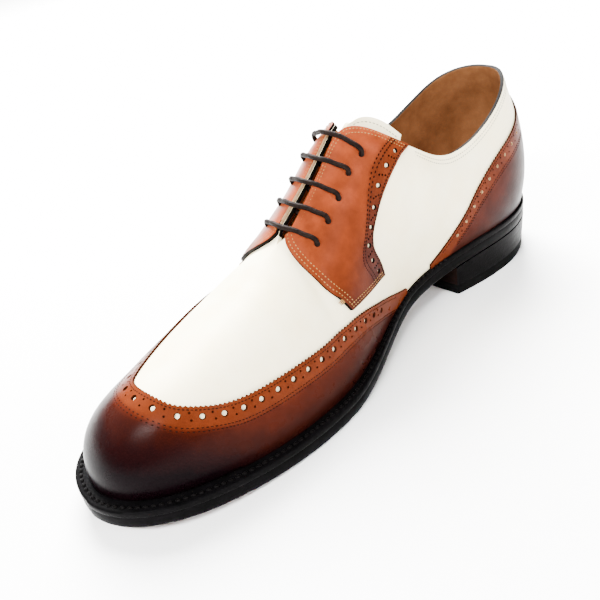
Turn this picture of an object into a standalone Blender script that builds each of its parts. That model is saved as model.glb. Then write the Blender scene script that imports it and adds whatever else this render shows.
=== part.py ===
"""Two-tone brogue shoe with open lacing, for the right foot.

The upper is worked out rib by rib on the last: each rib climbs from the feather
line, where upper and welt meet, to the top line, which is the collar, then the
front edge of the facings, then the ridge of the vamp. The leather overlays, the
tongue and the sole are all taken from the same curves.

Sizes are in millimetres on the last: x to the medial side, t from the back of the
heel towards the toe, z up from the floor. In the scene the toe points to -Y.
"""
import bmesh
import bpy
import numpy as np

MM = 0.001

# Driving dimensions
LAST_LENGTH = 297.0
CENTRE_X = -1.01
CENTRE_T = 149.64
GAP = 0.3
WALL = 2.0
WELT_THICK = 3.0
OUTSOLE_THICK = 6.1
OUTSOLE_INSET = 0.4
WELT_TUCK = 3.0
INSOLE_INSET = 3.5
INSOLE_RISE = 1.5
HEEL_BREAST = 82.0
HEEL_TAPER = 1.5
TOP_LIFT_THICK = 6.0
OVERLAY_LIFT = 0.6
OVERLAY_THICK = 1.0
FACING_THICK = 1.6
OVERLAY_FOOT = 0.014
FACING_TOP = 134.0
COLLAR_END = 141.0
SLOT_END = 179.0
SLOT_CLOSE = 186.0
SLOT_TOP = 2.0
SLOT_FOOT = 3.6
TONGUE_DEPTH = 7.5
TONGUE_THICK = 2.0
EYELET_RADIUS = 2.2
EYELET_INSET = 14.4
LACE_RADIUS = 1.3
LACE_LIFT = OVERLAY_LIFT + FACING_THICK + LACE_RADIUS + 0.7
LACE_DEPTH = WALL + LACE_RADIUS + 0.9
LACE_BEND = 2.1
LACE_SQUARE = 4.0
EYELET_STATIONS = [170.5, 160.8, 151.4, 142.3, 133.4]


def table(names, rows):
    """Rows of numbers as a dictionary of named columns."""
    return dict(zip(names.split(), np.array(rows, float).T))


# Feather line: half widths, height, how far the wall swells over it and how upright it starts
FEATHER = table("t medial lateral height swell rise", [
    (0, 0, 0, 30.0, .10, .36),
    (12, 22.0, -22.0, 30.0, .12, .36),
    (38, 31.0, -31.0, 30.0, .14, .36),
    (75, 27.5, -32.0, 28.5, .12, .38),
    (115, 22.0, -35.5, 20.5, .16, .43),
    (150, 31.0, -40.5, 12.8, .16, .43),
    (180, 40.5, -45.5, 9.6, .14, .44),
    (200, 43.5, -46.0, 9.5, .13, .45),
    (225, 43.5, -42.0, 10.0, .12, .47),
    (262, 37.5, -31.0, 12.4, .13, .53),
    (286, 26.5, -18.5, 14.6, .15, .58),
    (297, 5.0, 5.0, 15.2, .16, .60),
])
# Top line: ridge, height, slope of each side where it ends there and how long it stays flat
TOP_LINE = table("t ridge height slope_medial slope_lateral crown_medial crown_lateral", [
    (0, 0, 103.5, 90, 90, .30, .30),
    (8, 0, 102.6, 86, 86, .30, .30),
    (22, -.8, 97.8, 85, 85, .31, .31),
    (50, -2.5, 85.8, 81, 81, .32, .32),
    (75, -2.8, 81.6, 75, 75, .32, .32),
    (92, -1.2, 87.4, 67, 67, .30, .30),
    (107, .8, 98.0, 54, 54, .27, .27),
    (120, 3.0, 107.7, 38, 38, .24, .24),
    (129, 4.6, 113.0, 28, 28, .225, .225),
    (134, 5.2, 112.6, 25, 25, .22, .22),
    (148, 5.3, 100.6, 22, 22, .21, .21),
    (162, 5.4, 88.8, 20, 21, .215, .215),
    (178, 5.8, 77.4, 14, 18, .235, .235),
    (186, 6.4, 74.0, 8, 13, .26, .25),
    (200, 7.6, 68.7, -4, 8, .31, .27),
    (228, 10.4, 60.6, -6, 6, .36, .30),
    (254, 11.2, 53.6, -6, 6, .39, .31),
    (277, 9.0, 45.6, -4, 4, .42, .36),
    (290, 7.2, 35.0, -2, 2, .45, .40),
    (297, 5.0, 15.2, 0, 0, .45, .40),
])
# Half width of the opening at the collar, from its back to the top of the facings
COLLAR = table("t medial lateral", [
    (0, 0, 0), (8, 15.5, 15.5), (22, 23.8, 23.8), (50, 28.6, 28.6), (75, 28.6, 28.6), (92, 27.0, 27.0),
    (107, 22.8, 22.6), (120, 15.5, 14.6), (126, 9.9, 7.8), (130, 6.1, 3.6), (133.5, 3.6, 2.3),
    (137, 2.4, SLOT_TOP), (COLLAR_END, SLOT_TOP, SLOT_TOP),
])
# Curve of the heel's back: how far each height lies in front of the seat
HEEL_BACK = table("z forward", [
    (10, .5), (30, 0), (42, -2.6), (55, -3.4), (70, -2.0), (85, 1.5), (97, 5.5), (112, 10),
])
HEEL_BACK_REACH = 70.0
# Width of the welt outside the feather line
WELT = table("t medial lateral", [
    (0, 2.5, 2.5), (80, 2.5, 3.0), (115, 2.5, 4.0), (150, 4.5, 5.5), (185, 6.5, 6.5),
    (230, 7.0, 7.0), (270, 7.5, 7.0), (297, 7.5, 7.0),
])
# Upper edges of the wing cap and the counter, as shares of the rib
WING_EDGE = table("t medial lateral", [
    (118, .03, .03), (134, .10, .10), (155, .225, .225), (175, .325, .325), (189, .35, .40), (213, .39, .51),
    (232, .43, .565), (248, .50, .635), (254.5, .562, .68), (260.4, .644, .735), (264.6, .756, .805),
    (266.2, .87, .89), (266.8, 1, 1),
])
COUNTER_EDGE = table("t medial lateral", [
    (0, .94, .94), (.3, .885, .885), (1.2, .825, .825), (3.3, .765, .765), (8.5, .715, .715), (18, .688, .688),
    (33, .68, .68), (42, .67, .67), (52, .63, .63), (60, .565, .565), (66, .49, .49), (71, .40, .40),
    (76, .31, .31), (81, .225, .225), (87, .135, .135), (93, .07, .07), (98, .035, .035),
])
# Rear and front edges of a facing, from its lower corners up
FACING_REAR = table("t share", [
    (137.7, .225), (140.3, .319), (142.3, .42), (140.3, .45), (137, .475),
    (130.4, .544), (124.6, .644), (116.8, .806), (106, 1),
])
FACING_FRONT = table("t share", [
    (170.6, .356), (173.9, .45), (177.8, .55), (179.7, .644), (181, .738), (181, .83),
    (179.5, .93), (177, 1),
])


def spline(knots, values):
    """Natural cubic spline through the values, as a function."""
    x = np.asarray(knots, float)
    y = np.asarray(values, float)
    step = np.diff(x)
    slope = np.diff(y) / step
    last = len(x) - 1
    matrix = np.eye(last + 1)
    right = np.zeros(last + 1)
    for i in range(1, last):
        matrix[i, i - 1:i + 2] = step[i - 1], 2 * (step[i - 1] + step[i]), step[i]
        right[i] = 6 * (slope[i] - slope[i - 1])
    bend = np.linalg.solve(matrix, right)

    def value(q):
        q = np.asarray(q, float)
        i = np.clip(np.searchsorted(x, q) - 1, 0, last - 1)
        h = step[i]
        ahead = x[i + 1] - q
        past = q - x[i]
        curve = (bend[i] * ahead ** 3 + bend[i + 1] * past ** 3) / (6 * h)
        line = (y[i] / h - bend[i] * h / 6) * ahead + (y[i + 1] / h - bend[i + 1] * h / 6) * past
        return curve + line

    return value


def station(t):
    """Angle that runs from 0 at the heel to pi at the toe, so that both ends close round."""
    return np.arccos(np.clip(1 - 2 * np.asarray(t, float) / LAST_LENGTH, -1, 1))


def along(s):
    return LAST_LENGTH / 2 * (1 - np.cos(s))


def curves(columns):
    """One spline over the stations for each named column of a table."""
    knots = station(columns["t"])
    return {name: spline(knots, values) for name, values in columns.items() if name != "t"}


feather = curves(FEATHER)
top_line = curves(TOP_LINE)
collar = curves(COLLAR)
heel_back = spline(HEEL_BACK["z"], HEEL_BACK["forward"])


def side_name(side):
    return "medial" if side > 0 else "lateral"


def half_gap(s, side):
    """Half width of the opening: collar, then throat, then closed over the vamp."""
    t = along(s)
    throat = np.interp(t, [COLLAR_END, SLOT_END, SLOT_CLOSE], [SLOT_TOP, SLOT_FOOT, 0])
    return np.where(t < COLLAR_END, collar[side_name(side)](s), throat)


def rib(s, share, side, ridge, height, half, slope, crown):
    """Point on a rib, from the feather line at share 0 to the given top at share 1."""
    foot_x = feather[side_name(side)](s)
    foot_z = feather["height"](s)
    top_x = ridge + side * half
    tall = height - foot_z
    reach = crown * np.hypot(foot_x - top_x, tall)
    low_x = foot_x + side * feather["swell"](s) * np.abs(foot_x - ridge)
    low_z = foot_z + feather["rise"](s) * tall
    high_x = top_x + side * reach * np.cos(np.radians(slope))
    high_z = height - reach * np.sin(np.radians(slope))
    rest = 1 - share
    weights = rest ** 3, 3 * rest ** 2 * share, 3 * rest * share ** 2, share ** 3
    x = sum(w * v for w, v in zip(weights, (foot_x, low_x, high_x, top_x)))
    z = sum(w * v for w, v in zip(weights, (foot_z, low_z, high_z, height)))
    t = along(s)
    fade = np.clip(1 - t / HEEL_BACK_REACH, 0, 1)
    fade = fade * fade * (3 - 2 * fade)
    return np.array([x, t + heel_back(z) * fade, z])


def skin(s, share, side):
    """Point on the outer face of the upper."""
    name = side_name(side)
    return rib(s, share, side, top_line["ridge"](s), top_line["height"](s), half_gap(s, side),
               top_line["slope_" + name](s), top_line["crown_" + name](s))


def outward_normal(face, s, share, side):
    small = 0.002
    before = max(s - small, 0)
    below = max(share - small, 0)
    above = min(share + small, 1)
    run = face(s + small, share, side) - face(before, share, side)
    climb = face(s, above, side) - face(s, below, side)
    normal = side * np.cross(run, climb)
    return normal / np.linalg.norm(normal)


def lifted(face, s, share, side, lift):
    """Point at a height over a face, along its normal."""
    if s > np.pi - 0.02:
        return face(np.pi, 0.0, side) + np.array([0, lift, 1.0])
    normal = outward_normal(face, s, share, side)
    on_ridge = share > 0.9999 and half_gap(s, side) == 0
    if on_ridge or s < 1e-6:
        normal = normal + outward_normal(face, s, share, -side)
        normal /= np.linalg.norm(normal)
    return face(s, share, side) + lift * normal


def place(point):
    """From the last's own sizes to the scene."""
    x, t, z = point
    return (x - CENTRE_X) * MM, (CENTRE_T - t) * MM, z * MM


def clear_scene():
    for obj in list(bpy.data.objects):
        bpy.data.objects.remove(obj)


def collection(name):
    made = bpy.data.collections.new(name)
    bpy.context.scene.collection.children.link(made)
    return made


def leather(name, colour, roughness):
    material = bpy.data.materials.new(name)
    material.use_nodes = True
    shader = material.node_tree.nodes["Principled BSDF"]
    shader.inputs["Base Color"].default_value = (*colour, 1)
    shader.inputs["Roughness"].default_value = roughness
    shader.inputs["Metallic"].default_value = 0.0
    return material


def sheet(bm, columns, rows, point, flip=False):
    """Grid of columns by rows faces, with the corner at (column, row) at point(column, row)."""
    column_of = bm.verts.layers.int.get("column") or bm.verts.layers.int.new("column")
    row_of = bm.verts.layers.int.get("row") or bm.verts.layers.int.new("row")
    made = bmesh.ops.create_grid(bm, x_segments=columns, y_segments=rows, size=0.5)["verts"]
    for vert in made:
        vert[column_of] = round((vert.co.x + 0.5) * columns)
        vert[row_of] = round((vert.co.y + 0.5) * rows)
        vert.co = place(point(vert[column_of], vert[row_of]))
    if flip:
        faces = {face for vert in made for face in vert.link_faces}
        bmesh.ops.reverse_faces(bm, faces=list(faces))


def finish(name, bm, material, home):
    """Mesh object of the part from a bmesh."""
    bmesh.ops.remove_doubles(bm, verts=bm.verts, dist=0.01 * MM)
    mesh = bpy.data.meshes.new(name)
    bm.to_mesh(mesh)
    bm.free()
    mesh.shade_smooth()
    mesh.set_sharp_from_angle(angle=np.radians(40))
    mesh.materials.append(material)
    obj = bpy.data.objects.new(name, mesh)
    home.objects.link(obj)
    return obj


def thicken(obj, thickness, outward):
    wall = obj.modifiers.new("wall", "SOLIDIFY")
    wall.thickness = thickness * MM
    wall.offset = 1.0 if outward else -1.0
    wall.use_quality_normals = True


def cut(obj, cutter):
    holes = obj.modifiers.new("holes", "BOOLEAN")
    holes.operation = "DIFFERENCE"
    holes.object = cutter


def plate(name, columns, rows, top, bottom, material, home):
    """Closed plate between a top face and a bottom face on the same grid."""
    bm = bmesh.new()
    sheet(bm, columns, rows, top)
    column_of = bm.verts.layers.int["column"]
    row_of = bm.verts.layers.int["row"]
    bmesh.ops.remove_doubles(bm, verts=bm.verts, dist=0.01 * MM)
    grown = bmesh.ops.extrude_face_region(bm, geom=list(bm.faces), use_keep_orig=True)["geom"]
    for vert in grown:
        if isinstance(vert, bmesh.types.BMVert):
            vert.co = place(bottom(vert[column_of], vert[row_of]))
    bmesh.ops.recalc_face_normals(bm, faces=bm.faces)
    return finish(name, bm, material, home)


def edge_share(columns, t, side, tip=None):
    """Share of the rib where an overlay's upper edge lies, at distance t on one side."""
    shares = columns[side_name(side)]
    # Measured by square roots from the heel's back, or back from the tip, the edge closes round there
    if tip is None:
        return float(spline(np.sqrt(columns["t"]), shares)(np.sqrt(t)))
    back = np.sqrt(tip - columns["t"][::-1])
    return float(np.clip(spline(back, shares[::-1])(np.sqrt(max(tip - t, 0))), 0, 1))


# Upper

UPPER_STATIONS = np.concatenate([
    along(np.linspace(0, station(30), 6)), np.linspace(40, 117, 8), [123, 127.5, 131, 134, 137.5],
    [142, 148, 155, 162, 169, 174, 177, SLOT_END, 181, 183.5, SLOT_CLOSE, 189.5, 194],
    np.linspace(201, 270, 8), along(np.linspace(station(277), np.pi, 6)),
])
UPPER_SHARES = np.concatenate([np.linspace(0, 0.5, 5), np.linspace(0.56, 1, 8)])


def make_upper(material, home):
    bm = bmesh.new()
    for side in (1, -1):
        def point(column, row):
            return skin(station(UPPER_STATIONS[column]), UPPER_SHARES[row], side)
        sheet(bm, len(UPPER_STATIONS) - 1, len(UPPER_SHARES) - 1, point, flip=side > 0)
    upper = finish("upper", bm, material, home)
    thicken(upper, WALL, outward=False)
    return upper


# Overlays on the upper

WING_STATIONS = np.concatenate([
    np.linspace(118, 248, 19), [253, 257.5, 261, 264, 266, 266.8, 271],
    along(np.linspace(station(276), np.pi, 7)),
])
WING_ROWS = 7
COUNTER_STATIONS = np.concatenate([along(np.linspace(0, station(26), 6)), np.linspace(33, 98, 12)])
COUNTER_ROWS = 6


def make_band(name, stations, rows, edge, material, home):
    """Overlay from the feather line up to its edge, on both sides of the shoe."""
    bm = bmesh.new()
    for side in (1, -1):
        def point(column, row):
            share = OVERLAY_FOOT + (edge(stations[column], side) - OVERLAY_FOOT) * row / rows
            return lifted(skin, float(station(stations[column])), share, side, OVERLAY_LIFT)
        sheet(bm, len(stations) - 1, rows, point, flip=side > 0)
    band = finish(name, bm, material, home)
    thicken(band, OVERLAY_THICK, outward=True)
    return band


def wing_edge(t, side):
    return edge_share(WING_EDGE, t, side, tip=WING_EDGE["t"][-1])


def counter_edge(t, side):
    return edge_share(COUNTER_EDGE, t, side)


FACING_COLUMNS = 13
FACING_ROWS = 12
SHARE_LENGTH = 95.0


def path(columns):
    """Curve through the rows of a table, by the share of its length on the last."""
    step = np.hypot(np.diff(columns["t"]), np.diff(columns["share"]) * SHARE_LENGTH)
    length = np.concatenate([[0], np.cumsum(step)])
    t = spline(length / length[-1], columns["t"])
    share = spline(length / length[-1], columns["share"])
    return lambda v: np.array([t(v), share(v)])


facing_rear = path(FACING_REAR)
facing_front = path(FACING_FRONT)


def facing_point(u, v):
    """Distance and share of the rib at u from rear to front and v from bottom to top."""
    low = (1 - u) * facing_rear(0) + u * facing_front(0)
    high = (1 - u) * facing_rear(1) + u * facing_front(1)
    corners = (1 - v) * low + v * high
    return (1 - u) * facing_rear(v) + u * facing_front(v) + (1 - v) * low + v * high - corners


def make_facing(side, material, home):
    bm = bmesh.new()

    def point(column, row):
        t, share = facing_point(column / FACING_COLUMNS, row / FACING_ROWS)
        return lifted(skin, float(station(t)), float(np.clip(share, 0, 1)), side, OVERLAY_LIFT)

    sheet(bm, FACING_COLUMNS, FACING_ROWS, point, flip=side > 0)
    facing = finish("facing_" + side_name(side), bm, material, home)
    thicken(facing, FACING_THICK, outward=True)
    return facing


# Tongue

TONGUE_OUT = 10.0
TONGUE_SPREAD = 27.0
TONGUE_FOOT = 193.0
TONGUE_EDGE_SHARE = 0.70
TONGUE_COLUMNS = 13
TONGUE_TOP_COLUMNS = 2
TONGUE_HALF_ROWS = 5
BACK_ALONG_INSTEP = np.array([0, -0.8, 0.6])


def tongue_point(outward, below, out, side):
    """Point on the tongue's face, between its middle at outward 0 and its side edge at outward 1.

    Below runs from 0 under the top edge of the facing to 1 at the sewn foot, and out is how far
    the tongue stands out above that edge.
    """
    start = FACING_TOP - TONGUE_SPREAD * outward
    t = start + (TONGUE_FOOT - start) * below
    s = float(station(t))
    share = 1 - outward * (1 - TONGUE_EDGE_SHARE) * below ** 0.35
    sewn = np.clip((t - SLOT_END + 6) / (TONGUE_FOOT - SLOT_END), 0, 1)
    raised = 2.5 * np.clip((131 - t) / 24, 0, 1) + 0.4 * out
    depth = TONGUE_DEPTH + (WALL + 2 * GAP - TONGUE_DEPTH) * sewn - raised
    climb = skin(s, 1.0, side) - skin(s, 0.98, side)
    climb /= np.linalg.norm(climb)
    way = BACK_ALONG_INSTEP * (1 - 0.55 * outward) + climb * 0.55 * outward
    return lifted(skin, s, share, side, -depth) + out * way / np.linalg.norm(way)


def make_tongue(material, home):
    """Sheet under the throat, sewn to the vamp at its foot and free at its top."""
    bm = bmesh.new()

    def point(column, row):
        side = 1 if row > TONGUE_HALF_ROWS else -1
        outward = (row - TONGUE_HALF_ROWS - 1 if side > 0 else TONGUE_HALF_ROWS - row) / TONGUE_HALF_ROWS
        below = max(column - TONGUE_TOP_COLUMNS, 0) / TONGUE_COLUMNS
        out = max(1 - column / TONGUE_TOP_COLUMNS, 0) * TONGUE_OUT * (1 - 0.6 * outward ** 3)
        return tongue_point(outward, below, out, side)

    sheet(bm, TONGUE_TOP_COLUMNS + TONGUE_COLUMNS, 2 * TONGUE_HALF_ROWS + 1, point)
    tongue = finish("tongue", bm, material, home)
    thicken(tongue, TONGUE_THICK, outward=False)
    return tongue


# Eyelets and lace

def eyelet_share(s, side):
    """Share of the rib that lies the eyelet's inset from the edge of the facing."""
    shares = np.linspace(1, 0.5, 60)
    points = np.array([skin(s, share, side) for share in shares])
    walked = np.concatenate([[0], np.cumsum(np.linalg.norm(np.diff(points, axis=0), axis=1))])
    return float(np.interp(EYELET_INSET, walked, shares))


def eyelet(t, side):
    """Point in the eyelet, its outward axis and the way from it to the throat."""
    s = float(station(t))
    share = eyelet_share(s, side)
    middle = skin(s, share, side)
    axis = lifted(skin, s, share, side, 1.0) - middle
    inward = skin(s, share + 0.05, side) - middle
    inward -= axis * np.dot(axis, inward)
    return middle, axis, inward / np.linalg.norm(inward)


def make_eyelet_cutter(home):
    bm = bmesh.new()
    for t in EYELET_STATIONS:
        for side in (1, -1):
            middle, axis, inward = eyelet(t, side)
            made = bmesh.ops.create_cone(bm, cap_ends=True, segments=10, depth=1, radius1=1, radius2=1)
            ends = np.cross(inward, axis)
            for vert in made["verts"]:
                a, b, c = vert.co
                vert.co = place(middle + EYELET_RADIUS * (a * inward + b * ends) + 12.0 * c * axis)
    cutter = finish("eyelet_holes", bm, bpy.data.materials["black_edge"], home)
    cutter.hide_render = True
    cutter.display_type = "WIRE"
    return cutter


def leg(t, side, upward):
    """Route of the lace through one eyelet, bending towards the throat above and below."""
    middle, axis, inward = eyelet(t, side)
    route = [
        middle - LACE_DEPTH * axis + LACE_BEND * inward,
        middle - (LACE_DEPTH - LACE_BEND) * axis,
        middle + (LACE_LIFT - LACE_BEND) * axis,
        middle + LACE_LIFT * axis + LACE_BEND * inward,
    ]
    return route if upward else route[::-1]


def over_throat(t_from, t_to, side_from, lift, insets, forward=0.0):
    """Route across the throat between two eyelets, at a height over the upper.

    The throat slopes down to the toe, so a bar that lies square to it crosses it forward of its eyelets.
    """
    ways = [-inset for inset in insets] + insets[::-1]
    route = []
    for i, way in enumerate(ways):
        s = float(station(t_from + (t_to - t_from) * (way + 1) / 2 + forward * (1 - abs(way))))
        side = side_from if i < len(insets) else -side_from
        share = 1 - abs(way) * (1 - eyelet_share(s, side))
        route.append(lifted(skin, s, share, side, lift))
    return route


def hidden_run():
    """Route of the tucked end, from under the top eyelet down the lateral side to the lowest one."""
    route = []
    for t in np.linspace(EYELET_STATIONS[-1] + 3, EYELET_STATIONS[0] + 3, 7):
        s = float(station(t))
        share = eyelet_share(s, -1) - 0.055
        route.append(lifted(skin, s, share, -1, -LACE_DEPTH))
    middle, axis, inward = eyelet(EYELET_STATIONS[0], -1)
    route[-1] = middle - LACE_DEPTH * axis - 3.4 * inward
    return route


def lace_route():
    route = hidden_run()
    for k, t in enumerate(EYELET_STATIONS):
        rising = leg(t, -1, upward=True)
        if k == 0:
            middle, axis, inward = eyelet(t, -1)
            rising[0] = middle - LACE_DEPTH * axis - LACE_BEND * inward
        route += rising
        route += over_throat(t, t, -1, LACE_LIFT, [0.55, 0.25, 0.0], forward=LACE_SQUARE)
        route += leg(t, 1, upward=False)
        if k + 1 < len(EYELET_STATIONS):
            route += over_throat(t, EYELET_STATIONS[k + 1], 1, -LACE_DEPTH, [0.5, 0.0])
    return route


def make_lace(material, home):
    route = lace_route()
    curve = bpy.data.curves.new("lace", "CURVE")
    curve.dimensions = "3D"
    curve.bevel_depth = LACE_RADIUS * MM
    curve.bevel_resolution = 2
    curve.use_fill_caps = True
    line = curve.splines.new("POLY")
    line.points.add(len(route) - 1)
    for point, spot in zip(line.points, route):
        point.co = (*place(spot), 1)
    curve.materials.append(material)
    lace = bpy.data.objects.new("lace", curve)
    home.objects.link(lace)
    return lace


# Sole

SOLE_COLUMNS = 38
SOLE_ROWS = 2


def welt_width(t, side):
    return np.interp(t, WELT["t"], WELT[side_name(side)])


def outline(stations, spread):
    """Medial and lateral edges, the feather line moved out by spread(t, side)."""
    t = along(stations)
    small = 1e-3
    edges = {}
    for side in (1, -1):
        line = feather[side_name(side)]
        run = np.stack([line(stations + small) - line(stations - small),
                        along(stations + small) - along(stations - small)], axis=1)
        run /= np.linalg.norm(run, axis=1)[:, None]
        out = side * np.stack([run[:, 1], -run[:, 0]], axis=1)
        edges[side] = np.stack([line(stations), t], axis=1) + out * spread(t, side)[:, None]
    for end in (0, -1):
        if np.isclose(edges[1][end, 1], edges[-1][end, 1], atol=3) and abs(t[end] - LAST_LENGTH / 2) > 148:
            edges[1][end] = edges[-1][end] = (edges[1][end] + edges[-1][end]) / 2
    return edges


def feather_height(t):
    return feather["height"](station(t))


def welt_top(t):
    return feather_height(t) - GAP


def welt_bottom(t):
    return welt_top(t) - WELT_THICK


def outsole_top(t):
    return welt_bottom(t) - GAP


def outsole_bottom(t):
    return np.maximum(outsole_top(t) - OUTSOLE_THICK, 0)


def across(edges, rows, height):
    """Grid point function between a medial and a lateral edge, at height(t)."""
    def point(column, row):
        x, t = edges[-1][column] + (edges[1][column] - edges[-1][column]) * row / rows
        return np.array([x, t, height(t)])
    return point


SOLE_STATIONS = np.linspace(0, np.pi, SOLE_COLUMNS + 1)


def make_outsole(material, home):
    edges = outline(SOLE_STATIONS, lambda t, side: welt_width(t, side) - OUTSOLE_INSET)
    return plate("outsole", SOLE_COLUMNS, SOLE_ROWS, across(edges, SOLE_ROWS, outsole_top),
                 across(edges, SOLE_ROWS, outsole_bottom), material, home)


def make_insole(material, home):
    edges = outline(SOLE_STATIONS, lambda t, side: np.full_like(t, -INSOLE_INSET))

    def top(t):
        return feather_height(t) + INSOLE_RISE

    def bottom(t):
        return outsole_top(t) + GAP

    return plate("insole", SOLE_COLUMNS, SOLE_ROWS, across(edges, SOLE_ROWS, top),
                 across(edges, SOLE_ROWS, bottom), material, home)


def make_welt(material, home):
    outer = outline(SOLE_STATIONS, welt_width)
    inner = outline(SOLE_STATIONS, lambda t, side: np.full_like(t, -WELT_TUCK))

    def round_trip(edges):
        return np.concatenate([edges[1], edges[-1][::-1][1:]])

    outer_ring = round_trip(outer)
    inner_ring = round_trip(inner)

    def ring(height):
        def point(column, row):
            x, t = inner_ring[column] + (outer_ring[column] - inner_ring[column]) * row
            return np.array([x, t, height(t)])
        return point

    return plate("welt", len(outer_ring) - 1, 1, ring(welt_top), ring(welt_bottom), material, home)


HEEL_STATIONS = np.concatenate([np.linspace(0, station(28), 9), station(np.linspace(38, HEEL_BREAST, 6))])


def heel_edges(taper):
    edges = outline(HEEL_STATIONS, lambda t, side: welt_width(t, side) - OUTSOLE_INSET - taper)
    for side in (1, -1):
        edges[side][-1, 1] = HEEL_BREAST - taper
    return edges


def make_heel(material, lift_material, home):
    taper_at_lift = HEEL_TAPER * 0.7
    wide = heel_edges(0.0)
    low = heel_edges(taper_at_lift)
    tread = heel_edges(HEEL_TAPER)
    columns = len(HEEL_STATIONS) - 1
    plate("heel_stack", columns, SOLE_ROWS, across(wide, SOLE_ROWS, lambda t: outsole_bottom(t) - GAP),
          across(low, SOLE_ROWS, lambda t: TOP_LIFT_THICK + GAP), material, home)
    plate("heel_top_lift", columns, SOLE_ROWS, across(low, SOLE_ROWS, lambda t: TOP_LIFT_THICK),
          across(tread, SOLE_ROWS, lambda t: 0.0), lift_material, home)


def main():
    clear_scene()
    shoe = collection("brogue_shoe")
    cutters = collection("cutters")
    ivory = leather("ivory_calf", (.80, .78, .72), .38)
    tan = leather("tan_calf", (.36, .11, .035), .30)
    burnished = leather("burnished_tan_calf", (.16, .045, .018), .22)
    black = leather("black_edge", (.012, .011, .011), .42)
    sole_leather = leather("sole_leather", (.30, .10, .05), .55)
    cork_tan = leather("insole_leather", (.45, .28, .16), .60)
    waxed = leather("waxed_cotton", (.020, .014, .012), .55)
    rubber = leather("rubber", (.015, .015, .016), .70)

    upper = make_upper(ivory, shoe)
    make_band("wing_cap", WING_STATIONS, WING_ROWS, wing_edge, burnished, shoe)
    make_band("counter", COUNTER_STATIONS, COUNTER_ROWS, counter_edge, tan, shoe)
    facings = [make_facing(side, tan, shoe) for side in (1, -1)]
    make_tongue(ivory, shoe)
    make_lace(waxed, shoe)
    make_welt(black, shoe)
    make_outsole(sole_leather, shoe)
    make_insole(cork_tan, shoe)
    make_heel(black, rubber, shoe)

    holes = make_eyelet_cutter(cutters)
    for punched in [upper, *facings]:
        cut(punched, holes)

    root = bpy.data.objects.new("brogue_shoe_root", None)
    shoe.objects.link(root)
    for obj in shoe.objects:
        if obj is not root:
            obj.parent = root


main()
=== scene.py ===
import bmesh
import bpy
import numpy as np
from mathutils import Matrix, Quaternion, Vector, kdtree


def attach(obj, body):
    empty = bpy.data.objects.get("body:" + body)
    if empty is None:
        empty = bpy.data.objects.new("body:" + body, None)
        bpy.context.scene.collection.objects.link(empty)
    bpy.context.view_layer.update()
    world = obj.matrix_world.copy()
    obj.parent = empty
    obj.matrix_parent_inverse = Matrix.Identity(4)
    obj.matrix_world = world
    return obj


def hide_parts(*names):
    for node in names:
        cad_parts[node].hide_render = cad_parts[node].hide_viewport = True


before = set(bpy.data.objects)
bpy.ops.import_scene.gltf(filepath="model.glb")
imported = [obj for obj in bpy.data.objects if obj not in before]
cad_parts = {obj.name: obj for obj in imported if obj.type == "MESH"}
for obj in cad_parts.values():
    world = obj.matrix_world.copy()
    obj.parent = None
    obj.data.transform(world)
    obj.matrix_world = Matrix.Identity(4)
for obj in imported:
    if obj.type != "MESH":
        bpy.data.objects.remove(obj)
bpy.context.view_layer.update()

# Right shoe, a two-tone brogue with open lacing.
# The last of the imported solids is drawn again as smooth curves, and the leathers are laid on
# it with their pinked edges, punched holes, stitches and burnish. Painted shade darkens the facings
# towards their bottoms and the floors of the blind pinholes.
# Sizes are in millimetres on the last: x to the medial side, t from the back of the heel
# towards the toe, z up from the floor. place() turns them into metres in the scene.

MM = 0.001

# Sizes shared with the solids
LAST_LENGTH = 297.0
CENTRE_X = -1.01
CENTRE_T = 149.64
GAP = 0.3
WALL = 2.0
WELT_THICK = 3.0
OUTSOLE_THICK = 6.1
WELT_TUCK = 3.0
INSOLE_INSET = 3.5
INSOLE_RISE = 1.5
HEEL_BREAST = 82.0
HEEL_TAPER = 1.5
TOP_LIFT_THICK = 6.0
FACING_TOP = 134.0
COLLAR_END = 141.0
SLOT_TOP = 2.0
SLOT_FOOT = 3.6
TONGUE_DEPTH = 7.5
TONGUE_THICK = 2.0
TONGUE_SPREAD = 27.0
TONGUE_FOOT = 193.0
TONGUE_EDGE_SHARE = 0.70
EYELET_INSET = 14.4
EYELET_STATIONS = [170.5, 160.8, 151.4, 142.3, 133.4]
LACE_SQUARE = 4.0
SHARE_LENGTH = 95.0

# Sizes that depart a little from the solids, to follow the photo more closely
OUTSOLE_INSET = 0.2
SOLE_GAP = 0.05
OVERLAY_FOOT = 0.002
OVERLAY_LIFT = 0.1
OVERLAY_THICK = 1.1
OVERLAY_HIGH = OVERLAY_LIFT + OVERLAY_THICK
FACING_THICK = 2.1
SLOT_END = 175.0
SLOT_CLOSE = 181.5
TONGUE_RISE = 173.0
TONGUE_CLIMB = 14.0
EYELET_RADIUS = 1.45
LACE_RADIUS = 1.2
LACE_LIFT = OVERLAY_LIFT + FACING_THICK + LACE_RADIUS + 0.1
LACE_DEPTH = WALL + LACE_RADIUS + 0.7
LACE_BEND = 1.3
LACE_LEAN = 0.3
LACE_REACH = LACE_BEND + 0.5

# Where the wing's edge crosses the ridge
WING_TIP = 266.8

# Fine work that the solids leave out
FACING_SKIVE = 0.42
TOOTH_PITCH = 2.0
TOOTH_DEPTH = 0.8
WING_HOLE = 1.45
COUNTER_HOLE = 0.95
FACING_HOLE = 1.3
HOLE_PITCH = 8.8
HOLE_INSET = 4.6
HOLE_LOW, HOLE_HIGH = 0.58, 1.12
PIN_RADIUS = 0.55
PIN_DEPTH = 0.7
EYELET_CUT = 12.0
RIM_ANGLE = np.radians(50)

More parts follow.
